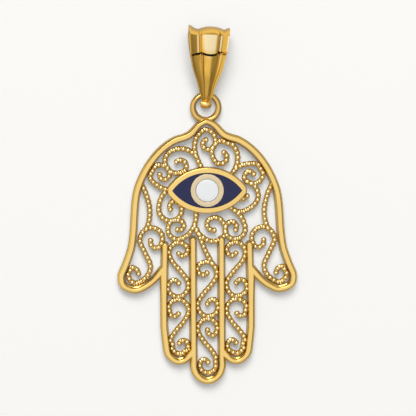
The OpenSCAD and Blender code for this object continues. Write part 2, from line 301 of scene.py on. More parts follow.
def on_plan(points):
    """Grid points turned into millimetres in the pendant's own place."""
    return [Vector((x / grid_w * hand_w, y / grid_l * hand_l + low_y)) for x, y in points]


def other_side(points):
    return [Vector((-p.x, p.y)) for p in points]


def mirrored_grid(points):
    return [(-x, y) for x, y in points[:0:-1]] + list(points)


def left_of(points, i):
    """Direction to the left of a line of points, at one of them."""
    way = (points[min(i + 1, len(points) - 1)] - points[max(i - 1, 0)]).normalized()
    return Vector((-way.y, way.x))


def beside(points, reach):
    return [p + reach * left_of(points, i) for i, p in enumerate(points)]


# %% [markdown]
# ## The outline and the scrolls, as drawn
# These are the few points of the solids: across in hundredths of the hand's width, and up from the
# middle fingertip. Only the fingertips are blunter here, by a tenth of a millimetre or so, as filing
# leaves them. The outline is symmetric, and most of the scrolls are not, because each was bent by
# hand.

# %% Points of the outline
palm_side = [
    (0, 147.5), (4.8, 145.7), (11.2, 139.9), (18.8, 137.2), (26.1, 132.2), (33.0, 124.4),
    (37.8, 116), (40.8, 108), (42.2, 98), (42.9, 86.3), (44.4, 75.6), (47.5, 66.9),
    (50, 60), (48.6, 54.4), (43.6, 51.2), (38.6, 50.7), (34.0, 52.6), (26.4, 58.8),
]
outer_finger = [(26.4, 58.8), (26.3, 46), (25.5, 24), (23.4, 15.0), (15.6, 10.5), (9.7, 13.4)]
middle_finger = [(0, -0.5), (7.9, 3.9), (10.0, 10.0), (9.7, 13.4)]
outer_bar = ((23.5, 77.2), (24.0, 54))
inner_bar = ((7.9, 80.0), (8.0, 13))

# %% Points of the scrolls
single_wires = [
    [(-2.2, 119.2), (-5.3, 125.3), (-6.6, 133.4), (-1.0, 141.3), (4.8, 136.2), (1.0, 130.2),
     (-2.3, 133.0), (-0.3, 135.7)],
    [(13.4, 116.2), (16.9, 123), (15.8, 131), (9.8, 135.3), (3.9, 132.4), (3.3, 126.2),
     (7.6, 122.3), (11.2, 126.2), (9.3, 128.7)],
    [(-6.2, 127), (-10.0, 129.9), (-16.2, 130.7), (-22.6, 126.6), (-21.9, 119.9),
     (-16.0, 117.3), (-11.4, 120.3), (-13.6, 124.4), (-16.9, 123.5)],
    [(16.2, 119.6), (23.4, 122.2), (29.4, 121.1), (31.2, 116.2), (28.2, 111.8),
     (24.4, 111.2), (20.8, 115.2), (23.5, 117.9), (26.0, 116.4)],
    [(-20.6, 107.8), (-27.4, 110.6), (-31.5, 115.2), (-29.8, 120.6), (-24.8, 121.8),
     (-20.5, 117.6), (-23.0, 113.9), (-25.6, 114.6), (-26.1, 116.8)],
    [(13.4, 97.8), (17.0, 95.7), (23.6, 97.4), (28.4, 103.6), (27.0, 109.2), (22.6, 112.4)],
    [(17.4, 102.6), (20.2, 102.8), (22.4, 104.4)],
    [(-21.6, 108.2), (-26.3, 101.2), (-25.8, 93.9), (-20.3, 90.8), (-14.6, 94.2),
     (-15.0, 100.0), (-19.2, 101.5), (-20.3, 97.1)],
    [(15.2, 96.4), (19.8, 91.2), (20.6, 83.6), (15.6, 80.4), (10.6, 83.2), (10.7, 88.2),
     (14.4, 90.0), (16.4, 87.6), (15.9, 85.4)],
    [(-6.2, 96.4), (-7.1, 88.4), (-11.4, 82.5), (-16.4, 80.5), (-21.7, 85.0), (-16.8, 91.3),
     (-12.9, 88.4), (-14.4, 85.8), (-16.6, 86.0)],
    [(-7.0, 87.6), (-3.2, 82.1), (3.2, 79.2), (9.3, 82.0), (9.6, 88.6), (4.6, 92.4),
     (-0.1, 88.6), (1.5, 86.0), (4.0, 85.4)],
    [(-5.8, 86), (-1.2, 74.2), (2.4, 67.2)],
    [(-0.1, 61.7), (-2.6, 60.5), (-5.5, 63.4), (-0.3, 67.8), (5.3, 62.0), (2.6, 55.6),
     (-2.4, 49.9), (-5.5, 43.0), (-3.3, 38.8), (1.3, 37.4), (5.8, 42.6), (2.9, 46.8),
     (-0.1, 44.2)],
    [(-0.1, 30), (2.4, 26.7), (5.4, 30.6), (0.2, 36.0), (-5.5, 31.0), (-2.4, 23.8),
     (2.8, 17.5), (5.1, 10.8), (0.2, 5.8), (-4.8, 10.6), (-2.2, 13.3), (0.1, 11.7)],
]
paired_wires = [
    [(37.6, 113.5), (32.9, 103.2), (31.7, 96.2), (33.6, 86.7)],
    [(31.4, 80.1), (29.0, 75.8), (24.8, 80.6), (30.8, 87.1), (37.3, 81.7), (34.4, 72.8),
     (31.5, 65.2), (35.1, 58.6), (39.9, 56.3), (44.1, 61.2), (42.2, 65.0), (39.9, 64.4),
     (38.2, 61.5)],
    [(16.0, 72.7), (13.6, 71.2), (10.9, 74.0), (15.5, 78.6), (21.2, 73.8), (19.6, 68.4),
     (14.3, 62.1), (10.5, 55.1), (16.8, 48.5), (21.8, 54.7), (18.4, 57.8), (15.9, 55.9)],
    [(16.2, 39.1), (18.6, 37.5), (21.9, 41.2), (16.4, 46.9), (10.5, 41.8), (12.9, 35.2),
     (18.3, 28.6), (21.5, 22.0), (16.0, 16.7), (10.9, 20.6), (13.0, 24.1), (15.9, 22.5)],
]
wire_step, outline_step = 8, 4
wire_lines = [smooth(on_plan(w), wire_step) for w in single_wires]
for w in paired_wires:
    wire_lines += [smooth(side, wire_step) for side in (on_plan(w), other_side(on_plan(w)))]
palm_line = smooth(on_plan(mirrored_grid(palm_side)), outline_step)
finger_line = smooth(on_plan(outer_finger), outline_step)
middle_line = smooth(on_plan(mirrored_grid(middle_finger)), outline_step)[::-1]
outline = palm_line[:-1] + finger_line[:-1] + middle_line[:-1] + other_side(finger_line)[:0:-1]
print(len(outline), "points round the hand,", len(wire_lines), "scroll wires")

# %% [markdown]
# ## Finishing a piece
# A finished piece has its place in its mesh: its object stays at the origin, unturned and unscaled.
# Then a pattern that reads the object's coordinates stays where it is put, and the piece goes into
# another scene without a jump. Here the millimetres also become metres.

# %% Helpers to start and finish a piece
def nothing_selected():
    if bpy.context.object and bpy.context.object.mode != "OBJECT":
        bpy.ops.object.mode_set(mode="OBJECT")
    bpy.ops.object.select_all(action="DESELECT")


def only(piece):
    nothing_selected()
    bpy.context.view_layer.objects.active = piece
    piece.select_set(True)


def piece_of(name, mesh_maker):
    """A new object from a bmesh that is already the shape it needs."""
    mesh = bpy.data.meshes.new(name)
    mesh_maker.to_mesh(mesh)
    mesh_maker.free()
    return in_scene(name, mesh)


def made_mesh(piece):
    """Turns a curve into a mesh."""
    only(piece)
    bpy.ops.object.convert(target="MESH")
    return bpy.context.object


def placed_for_good(piece):
    """Moves a piece's place, turn and size into its mesh."""
    only(piece)
    bpy.ops.object.transform_apply(location=True, rotation=True, scale=True)


def whole_mesh_open(piece):
    """Opens a piece for editing, with all of it selected."""
    only(piece)
    bpy.ops.object.mode_set(mode="EDIT")
    bpy.ops.mesh.select_all(action="SELECT")


def applied(piece, kind, **settings):
    """Adds a modifier with its settings and applies it."""
    only(piece)
    modifier = piece.modifiers.new(kind.lower(), kind)
    for key, value in settings.items():
        setattr(modifier, key, value)
    bpy.ops.object.modifier_apply(modifier=modifier.name)


def finished(piece, node, paint, angle=35):
    """Brings a piece to size and puts it on the pendant in place of a solid."""
    whole_mesh_open(piece)
    bpy.ops.mesh.remove_doubles(threshold=0.0005)
    bpy.ops.mesh.normals_make_consistent(inside=False)
    bpy.ops.object.mode_set(mode="OBJECT")
    if angle:
        bpy.ops.object.shade_smooth_by_angle(angle=math.radians(angle))
    else:
        bpy.ops.object.shade_smooth()
    piece.scale = (0.001, 0.001, 0.001)
    placed_for_good(piece)
    piece.data.materials.clear()
    piece.data.materials.append(paint)
    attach(piece, "root")
    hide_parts(node)
    triangles = sum(len(f.vertices) - 2 for f in piece.data.polygons)
    print(piece.name, "has", triangles, "triangles and is",
          [round(v * 1000, 2) for v in piece.dimensions], "mm")


# %% [markdown]
# ## How gold wears, and its painted light and shade
# Gold is polished last, and fine scratches from the wheel and from wear run over it. Four effects
# serve every gold piece, so each is a node group that is built once: painted shade in the corners,
# the uneven tone of the metal, a painted highlight on the faces that look up, and the scratches.

# %% Building a node group
def new_group(name, inputs, outputs):
    """A node group with named inputs and their usual values, and with named outputs."""
    group = bpy.data.node_groups.new(name, "ShaderNodeTree")
    kind = "NodeSocketFloat"
    for label, value in inputs.items():
        socket = group.interface.new_socket(name=label, in_out="INPUT", socket_type=kind)
        socket.default_value = value
    for label in outputs:
        group.interface.new_socket(name=label, in_out="OUTPUT", socket_type=kind)
    return group, group.nodes.new("NodeGroupInput").outputs, group.nodes.new("NodeGroupOutput")


def math_node(tree, operation, a, b):
    """A sum on two values or sockets, kept between 0 and 1."""
    node = add_node(tree, "Math", {0: a, 1: b}, operation=operation, use_clamp=True)
    return node.outputs["Value"]


# %% Painted shade in the corners
usual = {"Reach": 0.0003, "Depth": 1.0}
painted_corner_shade, given, result = new_group("painted_corner_shade", usual, ["Mask", "Deep"])
# Painted shade: the less open a spot is, the more it is darkened.
closeness = add_node(painted_corner_shade, "AmbientOcclusion", {"Distance": given["Reach"]}, samples=8)
hidden = math_node(painted_corner_shade, "SUBTRACT", 1.0, closeness.outputs["AO"])
shade_amount = math_node(painted_corner_shade, "MULTIPLY", hidden, given["Depth"])
feed(painted_corner_shade, result, {"Mask": shade_amount, "Deep": ramp(painted_corner_shade, hidden, 0.55, 0.9)})

# %% The uneven tone of the metal
metal_tone, given, result = new_group("metal_tone", {"Size": 900.0, "Strength": 0.3}, ["Mask"])
place = add_node(metal_tone, "TexCoord").outputs["Object"]
clouds = add_node(metal_tone, "TexNoise", {"Vector": place, "Scale": given["Size"], "Detail": 3})
uneven = math_node(metal_tone, "MULTIPLY", clouds.outputs["Fac"], given["Strength"])
feed(metal_tone, result, {"Mask": uneven})

# %% A painted highlight on faces that look up
painted_top_highlight, given, result = new_group("painted_top_highlight", {"From": 0.9, "To": 0.99}, ["Mask"])
facing = add_node(painted_top_highlight, "TexCoord").outputs["Normal"]
upward = add_node(painted_top_highlight, "SeparateXYZ", {"Vector": facing}).outputs["Z"]
feed(painted_top_highlight, result, {"Mask": ramp(painted_top_highlight, upward, given["From"], given["To"])})

# %% Polishing scratches
usual = {"Size": 6000.0, "Rough": 0.2, "Spread": 0.1}
polish_marks, given, result = new_group("polish_marks", usual, ["Height", "Roughness"])
place = add_node(polish_marks, "TexCoord").outputs["Object"]
stretched = add_node(polish_marks, "Mapping", {
    "Vector": place, "Scale": (1.0, 0.12, 1.0), "Rotation": (0, 0, math.radians(24)),
})
grain = add_node(polish_marks, "TexNoise", {
    "Vector": stretched.outputs["Vector"], "Scale": given["Size"], "Detail": 4, "Roughness": 0.65,
}).outputs["Fac"]
spread = math_node(polish_marks, "MULTIPLY", grain, given["Spread"])
rough = math_node(polish_marks, "ADD", spread, given["Rough"])
feed(polish_marks, result, {"Height": grain, "Roughness": rough})
print("node groups:", [group.name for group in bpy.data.node_groups])

# %% [markdown]
# ## The golds
# The band and the rim are polished flat, the beads are left as they were rolled, with their tops
# painted paler as a highlight, and the bail and the ring are painted a little darker, as shade on
# their sloping faces. The seam at the bail's knee is a deep slit, painted nearly black as its
# shadow. One maker of gold paint takes the colours of the painted highlight on faces that look up,
# the slopes, the painted shade in the corners and in the deepest corners, and how rough the gold is.
# Gold that is mirrored in gold is painted a little paler, and the light that it throws on the floor
# is painted grey.

# %% Helpers for a finish
def placed(tree, group, **values):
    """A node group put into a material with its own values."""
    node = add_node(tree, "Group", node_tree=group)
    feed(tree, node, values)
    return node.outputs


def add_relief(tree, surface, height, strength):
    """Bumps on a surface, a hundredth of a millimetre high."""
    bumps = add_node(tree, "Bump", {"Strength": strength, "Distance": 0.00001, "Height": height})
    feed(tree, surface, {"Normal": bumps.outputs["Normal"]})


# %% A maker of gold paint
cloud_color, painted_reflection_tint, gray_light = (0.75, 0.5, 0.3), (0.95, 0.84, 0.5), (0.5, 0.5, 0.5)


def gold_paint(name, bright, body, shade_color, deepest, shade_amount, high,
               reach=0.0003, rough=0.14, tone=0.15, grain=0.25):
    """Gold with a painted highlight where it faces up, a deeper colour on its slopes and painted
    shade in its corners.
    """
    paint, tree, surface = new_paint(name)
    # Painted highlight: the bright colour where the face looks up, between the two values of high.
    top_highlight = placed(tree, painted_top_highlight, From=high[0], To=high[1])
    corners = placed(tree, painted_corner_shade, Reach=reach, Depth=shade_amount)
    cloud = placed(tree, metal_tone, Size=700.0, Strength=tone)
    marks = placed(tree, polish_marks, Size=6000.0, Rough=rough, Spread=0.1)
    metal = mixed_color(tree, top_highlight["Mask"], body, bright)
    uneven = mixed_color(tree, cloud["Mask"], metal, cloud_color, "MULTIPLY")
    # Painted shade: darker in the corners and darkest in the deepest ones.
    shaded = mixed_color(tree, corners["Mask"], uneven, shade_color)
    color = mixed_color(tree, corners["Deep"], shaded, deepest)
    ray = add_node(tree, "LightPath").outputs
    # Painted reflection: seen mirrored in gold, the gold is painted paler; the light it throws on
    # matt things is painted grey.
    paler = mixed_color(tree, 0.34, color, painted_reflection_tint)
    color = mixed_color(tree, ray["Is Glossy Ray"], color, paler)
    color = mixed_color(tree, ray["Is Diffuse Ray"], color, gray_light)
    feed(tree, surface, {"Base Color": color, "Metallic": 1.0, "Roughness": marks["Roughness"]})
    add_relief(tree, surface, marks["Height"], grain)
    return paint


# %% The five golds
# First colour: painted highlight on faces that look up. Third and fourth: painted shade in corners.
flat_gold = gold_paint(
    "polished_flat_gold", (1.0, 0.71, 0.25), (0.9, 0.575, 0.125), (0.58, 0.37, 0.075),
    (0.38, 0.24, 0.045), 0.5, (0.9, 0.995), reach=0.0002, rough=0.12, tone=0.1, grain=0.06,
)
bead_gold = gold_paint(
    "beaded_gold", (1.0, 0.94, 0.68), (0.93, 0.59, 0.075), (0.35, 0.215, 0.018),
    (0.25, 0.155, 0.018), 0.85, (0.88, 0.975), reach=0.00022,
)
bail_gold = gold_paint(
    "bail_gold", (1.0, 0.84, 0.5), (0.96, 0.575, 0.11), (0.36, 0.23, 0.05),
    (0.04, 0.028, 0.01), 1.0, (0.965, 0.997), reach=0.0004,
)
# The seam's paint is nearly black: painted shadow in the slit at the bail's knee.
seam_shadow_paint = gold_paint(
    "seam_shadow_paint", (0.02, 0.014, 0.006), (0.016, 0.011, 0.005), (0.01, 0.007, 0.003),
    (0.006, 0.004, 0.002), 1.0, (0.9, 0.995), rough=0.35,
)
# The ring's colours are a little darker: painted shade for its sloping faces.
ring_gold = gold_paint(
    "ring_gold", (0.88, 0.6, 0.22), (0.8, 0.5, 0.115), (0.3, 0.19, 0.045),
    (0.1, 0.07, 0.02), 0.9, (0.93, 0.998),
)
print("golds:", [paint.name for paint in (flat_gold, bead_gold, bail_gold, seam_shadow_paint, ring_gold)])

# %% [markdown]
# ## The band and the bars
# The hand is framed by a flat band, sawn or cast in one with the four bars that part the fingers.
# Polishing rounds both its shoulders, the outer one more, and thins it a little at the fingertips
# and under the ring. At the fingertips the file leaves a small shelf a third of the way down the
# inner wall. A filled curve with a bevel would round both sides alike, so the rings of each edge are
# placed one under the other, and only the two flat faces between them are filled.

# %% The window inside the band
def crossing(line, a, b):
    """Where a line of points crosses the way from a to b, and how many points come before."""
    for i, (p, q) in enumerate(zip(line, line[1:])):
        d, e = q - p, b - a
        across = d.x * e.y - d.y * e.x
        if abs(across) < 1e-9:
            continue
        t = ((a.x - p.x) * e.y - (a.y - p.y) * e.x) / across
        u = ((a.x - p.x) * d.y - (a.y - p.y) * d.x) / across
        if 0 <= t <= 1 and 0 <= u <= 1:
            return i + 1, p + t * d
    raise ValueError("the lines do not cross")


def bar_sides(bar):
    """Points up the outer side of a bar, round its end and down the side towards the middle."""
    top, foot = on_plan(bar)
    up = (top - foot).normalized()
    out = Vector((up.y, -up.x)) * bar_w / 2
    end = [top + out * math.cos(a) + up * bar_w / 2 * math.sin(a)
           for a in (math.pi * k / 8 for k in range(9))]
    return foot + out, end, foot - out


def run_on(line, reach):
    """A line made longer at both ends."""
    first = line[0] + reach * (line[0] - line[1]).normalized()
    last = line[-1] + reach * (line[-1] - line[-2]).normalized()
    return [first] + line + [last]


below_outer_bar, below_inner_bar, search_above = 0.35, 0.3, 4


def window_half():
    """The inner edge of the band on the right, from the top of the hand to the middle fingertip."""
    palm_in = beside(run_on(palm_line, 2 * band_w), -band_w)[1:]
    finger_in = beside(run_on(finger_line, 2 * band_w), -band_w)
    middle_in = beside(middle_line, -band_w)
    points = [p for p in palm_in if p.x > 0]
    foot_out, end, foot_in = bar_sides(outer_bar)
    count, place = crossing(points[len(points) // 2:], foot_out, end[0])
    points = points[:len(points) // 2 + count] + [place] + end
    right_x = inner_bar[0][0] * 0.1
    points += [p for p in finger_in if p.x > right_x and p.y < foot_in.y - below_outer_bar]
    foot_out, end, foot_in = bar_sides(inner_bar)
    start = len(points) - len([p for p in finger_in if p.y < foot_in.y + search_above])
    count, place = crossing(points[start:], foot_out - Vector((0, 1)), end[0])
    points = points[:start + count] + [place] + end
    return points + [p for p in middle_in if p.x > 0 and p.y < foot_in.y - below_inner_bar]


right_half = window_half()
top_in = Vector((0, palm_line[len(palm_line) // 2].y - band_w))
tip_in = Vector((0, min(p.y for p in middle_line) + band_w))
window = [top_in] + right_half + [tip_in] + other_side(right_half)[::-1]
print("the window has", len(window), "points")

# %% Steps into a closed line
def corner_steps(loop, sharpest=0.45):
    """For each point of a closed line, the step that moves its sides one millimetre inwards."""
    steps = []
    for i, p in enumerate(loop):
        before = (p - loop[i - 1]).normalized()
        after = (loop[(i + 1) % len(loop)] - p).normalized()
        inward = Vector((before.y + after.y, -before.x - after.x)).normalized()
        wide = max(sharpest, inward.dot(Vector((after.y, -after.x))))
        steps.append(inward / wide)
    return steps


# %% A thinner band at the fingertips and the top
tips_below, top_above, top_half_w = -5.5, 6, 1.1
thinned_at_tips, thinned_at_top = 0.1, 0.13


def at_tip(p, step):
    """1 at the bottom of a finger or thumb, less beside it and 0 elsewhere."""
    return step.normalized().y ** 2 if p.y < tips_below and step.y > 0 else 0


def thinned(loop):
    """The window's line, moved into the band at the fingertips and under the ring."""
    moved = []
    for p, step in zip(loop, corner_steps(loop)):
        p = p - thinned_at_tips * step * at_tip(p, step)
        if p.y > top_above:
            p = p + Vector((0, thinned_at_top * max(0, 1 - (p.x / top_half_w) ** 2)))
        moved.append(p)
    return moved


window = thinned(window)

# %% Rings of one edge
def joined_rings(maker, rings):
    """Rows of points that close, each joined to the next by a strip of faces."""
    for low, high in zip(rings, rings[1:]):
        for i in range(len(low)):
            k = (i + 1) % len(low)
            maker.faces.new((low[i], low[k], high[k], high[i]))
    return rings


def edge_rings(maker, loop, profile):
    """Rings of points over each other, each a step in from the line and at a height."""
    steps = corner_steps(loop)
    return joined_rings(maker, [
        [maker.verts.new((*(p + step * reach), z)) for p, step in zip(loop, steps)]
        for reach, z in profile
    ])


def fill_between(maker, outer, inner):
    """Fills the flat face between two rings."""
    edges = []
    for ring in (outer, inner):
        for pair in zip([ring[-1]] + ring, ring):
            edges.append(maker.edges.get(pair) or maker.edges.new(pair))
    bmesh.ops.triangle_fill(maker, use_beauty=True, edges=edges)


def rounded(reach, height, top, count=4):
    """Steps of a quarter circle, from a wall up to a flat face."""
    turns = [math.pi / 2 * k / count for k in range(count + 1)]
    return [(reach * (1 - math.cos(a)), top - height + height * math.sin(a)) for a in turns]


# %% The band
outer_wall_drop, shelf_drop, inner_wall_drop = 0.34, 0.37, 0.33
inner_wall_in, inner_wall_top, shelf_in = -0.035, -0.04, 0.07
outer_shoulder = [
    (0.03, 0.19), (0.075, 0.09), (0.125, 0.04), (0.17, 0.014), (0.195, 0.003), (0.205, 0),
    (0.22, 0),
]
inner_shoulder = [
    (0.012, 0.13), (0.03, 0.06), (0.055, 0.03), (0.09, 0.01), (0.11, 0.002), (0.12, 0), (0.135, 0),
]
outer_profile = [(0.05, 0), (0, 0.05), (0, band_t - outer_wall_drop)]
outer_profile += [(x, band_t - down) for x, down in outer_shoulder]
inner_profile = [(0.05, 0), (0.08, 0.04), (shelf_in, band_t - shelf_drop)]
inner_profile += [(inner_wall_top, band_t - inner_wall_drop)]
inner_profile += [(inner_wall_top - x, band_t - down) for x, down in inner_shoulder]
maker = bmesh.new()
outer_rings = edge_rings(maker, outline, outer_profile)
inner_rings = edge_rings(maker, window, inner_profile)
shelf_ring = 2
for v, p, step in zip(inner_rings[shelf_ring], window, corner_steps(window)):
    v.co.xy = p + step * (inner_wall_in + (shelf_in - inner_wall_in) * at_tip(p, step))
fill_between(maker, outer_rings[-1], inner_rings[-1])
fill_between(maker, outer_rings[0], inner_rings[0])
band = piece_of("hand_band", maker)
finished(band, "hand", flat_gold)
applied(band, "WEIGHTED_NORMAL", keep_sharp=True)

# %% [markdown]
# ## The beaded wires
# The scrolls are beaded wire: a round wire rolled between grooved plates until it is a row of small
# balls. A round core wire follows each curve, a little lower than the balls' middles, and the balls
# sit on it a little closer than their own width, so that they run into each other. Where a scroll
# runs along the band it is kept just off it. One ball is modelled and then copied along every curve.
# Wire is soft and beading is never quite even, so each ball differs a little from the next.

# %% Room beside the band
def beside_band(line, room, nearest=0.3, alongside=0.45):
    """The same line, moved off the band where it runs along it. Ends that meet the band stay."""
    moved = []
    for i, p in enumerate(line):
        near = min(outline, key=lambda q: (p - q).length)
        off = p - near
        way = left_of(line, i).orthogonal()
        if nearest < off.length < room and abs(way.dot(off.normalized())) < alongside:
            p = near + off.normalized() * room
        moved.append(p)
    return moved


wire_lines = [beside_band(line, band_w + wire_w / 2) for line in wire_lines]

# %% Core wires
core = bpy.data.curves.new("scroll_wire", "CURVE")
core.dimensions = "3D"
core.bevel_depth = 0.225
core.bevel_resolution = 2
core.use_fill_caps = True
core_z = wire_z - 0.1
for line in wire_lines:
    spline = core.splines.new("POLY")
    spline.points.add(len(line) - 1)
    for point, place in zip(spline.points, line):
        point.co = (place.x, place.y, core_z, 1)
scroll_wire = made_mesh(in_scene("scroll_wire", core))
finished(scroll_wire, "hand", bead_gold)

# %% One bead
bead_r, bead_width, cap_from, cap_flat = 0.24, 1.08, 0.2, 0.88
nothing_selected()
bpy.ops.mesh.primitive_uv_sphere_add(segments=10, ring_count=6, radius=bead_r, location=(0, 0, 0))
bead = bpy.context.object
whole_mesh_open(bead)
bpy.ops.transform.resize(value=(wire_w * bead_width / (2 * bead_r), 1.04, 0.9))
bpy.ops.mesh.select_all(action="DESELECT")
maker = bmesh.from_edit_mesh(bead.data)
for v in maker.verts:
    v.select = v.co.y > cap_from
maker.select_flush_mode()
bpy.ops.transform.resize(value=(1, cap_flat, 1), center_override=(0, 0, 0))
bpy.ops.object.mode_set(mode="OBJECT")
bead_points = [Vector((v.co.z, v.co.x, v.co.y)) for v in bead.data.vertices]
bead_faces = [tuple(f.vertices) for f in bead.data.polygons]
bpy.data.objects.remove(bead, do_unlink=True)
print("a bead has", len(bead_faces), "faces")

# %% Beads along every wire
def even_places(line, pitch):
    """Places at an even pitch along a line, from end to end, with their directions."""
    lengths = [0]
    for p, q in zip(line, line[1:]):
        lengths.append(lengths[-1] + (q - p).length)
    count = max(1, round(lengths[-1] / pitch))
    found, i = [], 0
    for k in range(count + 1):
        at = lengths[-1] * k / count
        while i < len(line) - 2 and lengths[i + 1] < at:
            i += 1
        share = (at - lengths[i]) / (lengths[i + 1] - lengths[i])
        found.append((line[i].lerp(line[i + 1], share), line[i + 1] - line[i]))
    return found


chance = random.Random(5)
bead_pitch, inside_band = 0.42, 0.3
points, faces = [], []
for line in wire_lines:
    for place, way in even_places(line, bead_pitch):
        if min((place - p).length for p in outline) < inside_band:
            continue
        along = math.atan2(way.y, way.x) + chance.uniform(-0.15, 0.15)
        size = chance.uniform(0.96, 1.03)
        turn = Matrix.Rotation(along, 3, "Z") @ Matrix.Rotation(chance.uniform(-0.2, 0.2), 3, "X")
        rise = Vector((place.x, place.y, wire_z + chance.uniform(-0.012, 0.012)))
        start = len(points)
        points += [turn @ (p * size) + rise for p in bead_points]
        faces += [tuple(start + i for i in face) for face in bead_faces]
beads_mesh = bpy.data.meshes.new("scroll_beads")
beads_mesh.from_pydata(points, [], faces)
print(len(points) // len(bead_points), "beads")
finished(in_scene("scroll_beads", beads_mesh), "hand", bead_gold, angle=0)

# %% [markdown]
# ## The eye's cup and rim
# The enamel lies in a pointed cup with a raised, flat rim. Its outline is two arcs of a circle that
# meet at the corners, and outside the corners are rounded off. Such an outline is easy to give as
# one distance from the middle for each direction, so each ring of the cup is made that way, with
# the corners always among the directions.

# %% Rings of a pointed oval
ring_count = 96


def around():
    """The directions of a ring's points, as cosine and sine."""
    turns = [2 * math.pi * k / ring_count for k in range(ring_count)]
    return [(math.cos(a), math.sin(a)) for a in turns]


def oval_ring(grow, corner=None):
    """The eye's outline, grown on all sides, as points round its middle."""
    ring = []
    for c, s in around():
        far = -arc_y * abs(s) + math.sqrt((arc_r + grow) ** 2 - (arc_y * c) ** 2)
        far = min(far, corner or far)
        ring.append(Vector((far * c, far * s + eye_y)))
    return ring


def round_ring(radius):
    return [Vector((radius * c, radius * s + eye_y)) for c, s in around()]


def ring_stack(maker, rings):
    """Closed rings, each joined to the next. A ring is its flat points and a height."""
    return joined_rings(maker, [[maker.verts.new((*p, z)) for p in flat] for flat, z in rings])


# %% The cup and rim
corner_far = eye_l / 2 + 0.87 * rim_w
shoulder = [(x + 0.03, z) for x, z in rounded(0.11, 0.12, rim_top)]
outside = [(rim_w - x, z) for x, z in [(0.05, 0), (0, 0.05)] + shoulder]
maker = bmesh.new()
rings = [(oval_ring(grow, corner_far - rim_w + grow), z) for grow, z in outside]
rings += [(oval_ring(0), z) for z in (rim_top, cup_floor)]
made = ring_stack(maker, rings)
maker.faces.new(made[-1])
maker.faces.new(made[0])
eye_rim = piece_of("eye_rim", maker)
finished(eye_rim, "hand", flat_gold)
applied(eye_rim, "WEIGHTED_NORMAL", keep_sharp=True)

# %% [markdown]
# ## The ring at the top
# A ring of round wire is soldered into the top of the band. A torus is the start: where it meets
# the band its wire is pressed a little flat, as it is filed to fit before it is soldered. The bail
# has worn the wire at the top, so it is thicker on its inner side below. A small drop of solder fills
# the corner between the ring and the band.

# %% The ring
ring_r = (ring_d - ring_wire_d) / 2
ring_middle = Vector((ring_side, ring_y + low_y))
seat_y = hand_l + low_y - 0.05
pressed, thicker_below, below_from = 0.92, 0.3, 0.5
nothing_selected()
bpy.ops.mesh.primitive_torus_add(
    major_radius=ring_r, minor_radius=ring_wire_d / 2, major_segments=72, minor_segments=16,
    location=(*ring_middle, ring_z),
)
top_ring = bpy.context.object
top_ring.name = "top_ring"
placed_for_good(top_ring)
bpy.ops.object.mode_set(mode="EDIT")
maker = bmesh.from_edit_mesh(top_ring.data)
for v in maker.verts:
    v.select = v.co.y < seat_y
maker.select_flush_mode()
bpy.ops.transform.resize(value=(1, 1, pressed), center_override=(ring_side, seat_y, ring_z))
for v in maker.verts:
    out = v.co.xy - ring_middle
    inner_side = max(0, ring_r - out.length)
    below = min(1, max(0, below_from - out.normalized().y))
    v.co.xy = ring_middle + out * (1 - thicker_below * below * inner_side / out.length)
bmesh.update_edit_mesh(top_ring.data)
bpy.ops.object.mode_set(mode="OBJECT")
finished(top_ring, "hand", ring_gold, angle=0)

# %% The solder
solder_place = (0.3, seat_y, 0.6)
nothing_selected()
bpy.ops.mesh.primitive_uv_sphere_add(
    segments=24, ring_count=12, radius=0.17, location=solder_place,
)
solder = bpy.context.object
solder.name = "ring_solder"
bpy.ops.object.mode_set(mode="EDIT")
bpy.ops.transform.resize(value=(1.4, 0.8, 0.9), center_override=solder_place)
bpy.ops.object.mode_set(mode="OBJECT")
placed_for_good(solder)
finished(solder, "hand", ring_gold, angle=0)

# %% [markdown]
# ## The bail
# The bail is a leaf of gold, stamped with flutes and folded over so that a chain passes through it.
# From the side it is a long wedge: it rises from a crowned foot and a slight neck at the ring, has a
# small step at the knee, whose deep seam is painted black as its shadow, runs level to the crest and
# comes down round the far end, where the flutes run out into one arch between two horns. Two tables
# say this: one gives rows along the leaf, the other the flutes across it, with one drawing for the
# panel and one for the slope. A grid of points follows both, and an inner grid closes the wall. The
# solid is the same wedge with fewer rows, and its flutes are the same on both sides.

# %% The bail's rows and flutes
# A row: the upper leaf's place and height, the lower leaf's, the width and the flutes' depth.
bail_table = [
    (-0.012, 0.17, -0.012, 0.10, 0.12, 0.0), (-0.004, 0.29, -0.004, 0.04, 0.21, 0.0),
    (0.016, 0.38, 0.020, 0.00, 0.255, 0.0), (0.048, 0.40, 0.046, 0.00, 0.265, 0.0),
    (0.072, 0.38, 0.070, 0.00, 0.24, 0.0), (0.081, 0.35, 0.079, 0.00, 0.215, 0.0),
    (0.091, 0.365, 0.089, 0.00, 0.215, 0.1), (0.125, 0.435, 0.120, 0.00, 0.245, 0.3),
    (0.170, 0.49, 0.170, 0.00, 0.31, 0.5), (0.280, 0.59, 0.280, 0.00, 0.41, 0.7),
    (0.380, 0.68, 0.380, 0.00, 0.54, 0.9), (0.480, 0.76, 0.480, 0.00, 0.68, 1.0),
    (0.600, 0.84, 0.600, 0.00, 0.80, 1.0), (0.670, 0.885, 0.670, 0.00, 0.855, 1.0),
    (0.681, 0.873, 0.681, 0.00, 0.862, 1.0), (0.689, 0.79, 0.689, 0.00, 0.868, 1.0),
    (0.709, 0.79, 0.709, 0.00, 0.875, 1.0), (0.714, 0.92, 0.714, 0.00, 0.88, 1.0),
    (0.722, 0.955, 0.722, 0.00, 0.885, 1.0),
    (0.820, 0.98, 0.780, 0.00, 0.93, 1.0), (0.925, 1.00, 0.850, 0.00, 0.97, 1.0),
    (0.960, 0.88, 0.910, 0.05, 0.98, 1.0), (0.985, 0.72, 0.955, 0.15, 0.99, 1.0),
    (1.000, 0.50, 0.985, 0.28, 1.00, 1.0),
]
knee_row, trench_rows, crest_row = 14, 4, 20

